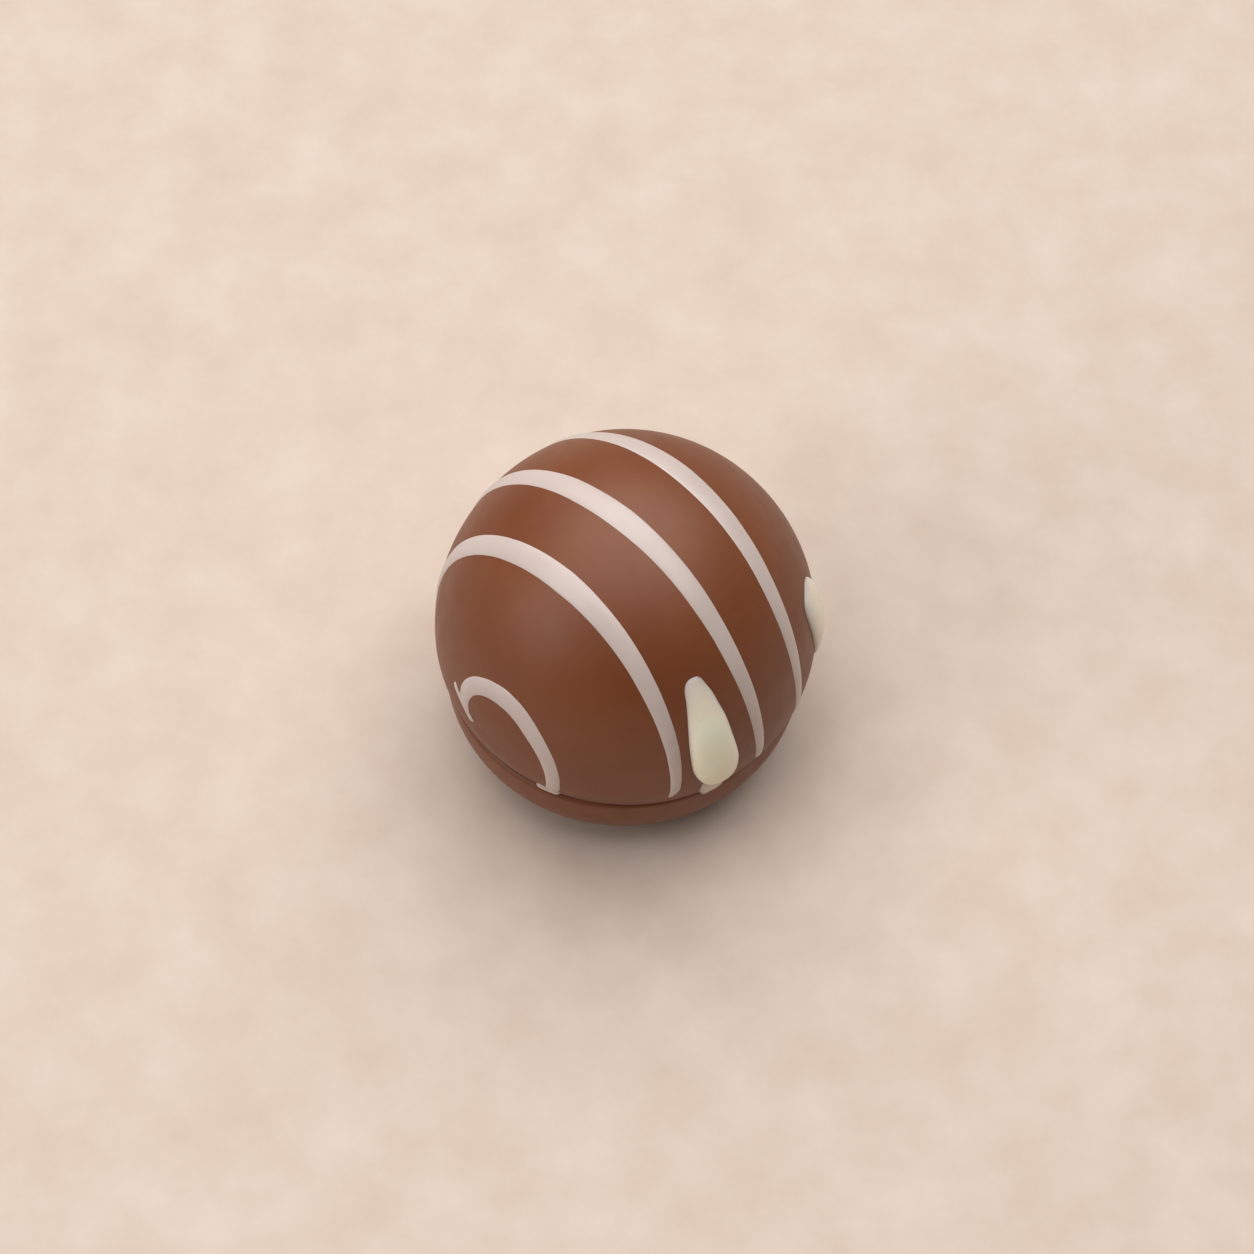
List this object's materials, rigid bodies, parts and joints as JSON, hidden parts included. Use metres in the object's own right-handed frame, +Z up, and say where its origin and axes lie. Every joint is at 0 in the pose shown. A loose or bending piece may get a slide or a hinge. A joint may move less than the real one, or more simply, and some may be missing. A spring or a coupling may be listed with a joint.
{
  "type": "praline marshmallow",
  "caption": "Ball of milk chocolate with a low seam, white chocolate stripes drizzled over it and cream drops that ran down its side.",
  "frame": {"origin": "middle of the small flat spot under the ball, where it rests", "axes": "+Z up, -Y towards the shown side, +X to the right of it"},
  "size_m": [0.0287, 0.028, 0.0273],
  "materials": {
    "milk_chocolate": "satin milk chocolate",
    "white_chocolate": "satin white chocolate",
    "cream_drop": "satin, slightly translucent cream drop"
  },
  "bodies": {
    "root": {"praline": "milk_chocolate"}
  },
  "joints": []
}
